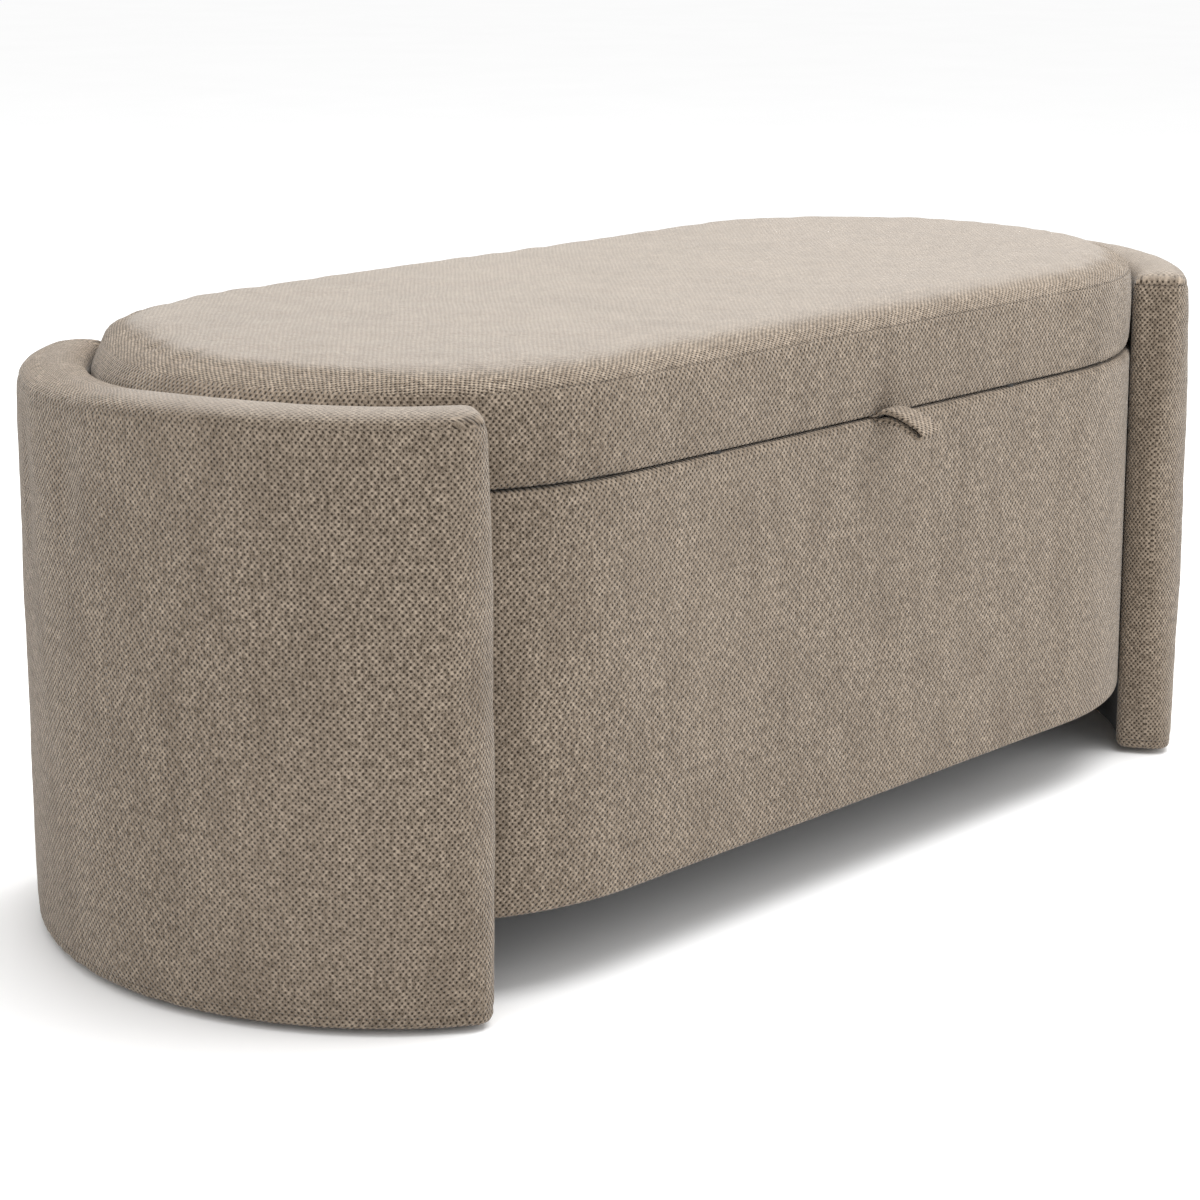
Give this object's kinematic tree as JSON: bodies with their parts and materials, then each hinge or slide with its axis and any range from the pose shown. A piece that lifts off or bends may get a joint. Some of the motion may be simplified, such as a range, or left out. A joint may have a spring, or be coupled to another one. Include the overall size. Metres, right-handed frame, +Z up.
{
  "type": "storage bench",
  "caption": "Oval upholstered storage bench with a hinged padded lid and two curved padded end panels that reach the floor and carry the box.",
  "frame": {"origin": "on the floor, under the middle of the bench's plan", "axes": "+X along the bench towards its right end as seen from the front, +Y to its rear (the hinge side), +Z up"},
  "size_m": [1.118, 0.5277, 0.45],
  "materials": {
    "upholstery": "matte, chunky woven chenille",
    "lining": "matte, thin woven lining",
    "black_felt": "matte, non-woven",
    "foam": "matte, open-cell foam",
    "plywood": "unfinished plywood",
    "softwood": "unfinished softwood",
    "steel": "zinc plated",
    "black_steel": "satin black",
    "rubber": "matte",
    "plastic": "matte"
  },
  "bodies": {
    "box": {"bottom_board": "plywood", "front_wall": "plywood", "rear_wall": "plywood", "left_end_wall": "plywood", "right_end_wall": "plywood", "front_left_post": "softwood", "front_right_post": "softwood", "rear_left_post": "softwood", "rear_right_post": "softwood", "left_end_batten": "softwood", "right_end_batten": "softwood", "top_rim": "softwood", "box_foam": "foam", "box_cover": "upholstery", "interior_lining": "lining", "dust_cover": "black_felt", "left_panel_lining": "black_felt", "right_panel_lining": "black_felt", "panel_spacers": "black_felt", "lid_bumpers": "rubber", "left_panel_inner_skin": "plywood", "left_panel_outer_skin": "plywood", "left_panel_bottom_rib": "softwood", "left_panel_top_rib": "softwood", "left_panel_front_stud": "softwood", "left_panel_middle_stud": "softwood", "left_panel_rear_stud": "softwood", "left_panel_foam": "foam", "left_panel_cover": "upholstery", "left_glides": "plastic", "left_hinge_bracket": "black_steel", "left_hinge_pin": "steel", "right_panel_inner_skin": "plywood", "right_panel_outer_skin": "plywood", "right_panel_bottom_rib": "softwood", "right_panel_top_rib": "softwood", "right_panel_front_stud": "softwood", "right_panel_middle_stud": "softwood", "right_panel_rear_stud": "softwood", "right_panel_foam": "foam", "right_panel_cover": "upholstery", "right_glides": "plastic", "right_hinge_bracket": "black_steel", "right_hinge_pin": "steel", "panel_bolts": "steel", "panel_washers": "steel", "panel_nuts": "steel", "bracket_screws": "steel"},
    "lid": {"lid_frame": "softwood", "lid_board": "plywood", "lid_foam": "foam", "lid_cover": "upholstery", "lid_lining": "lining", "pull_tab_root": "upholstery", "left_hinge_strap": "black_steel", "right_hinge_strap": "black_steel", "strap_screws": "steel"},
    "tab": {"pull_tab": "upholstery"}
  },
  "joints": [
    {"name": "lid_hinge", "type": "hinge", "parent": "box", "child": "lid", "pos_m": [0, 0.243, 0.41], "axis": [-1, 0, 0], "range_deg": [0, 95]},
    {"name": "pull_tab_flex", "type": "hinge", "parent": "lid", "child": "tab", "pos_m": [0.0095, -0.2354, 0.3675], "axis": [-1, 0, 0], "range_deg": [0, 50], "stiffness_Nm_per_rad": 0.02}
  ]
}
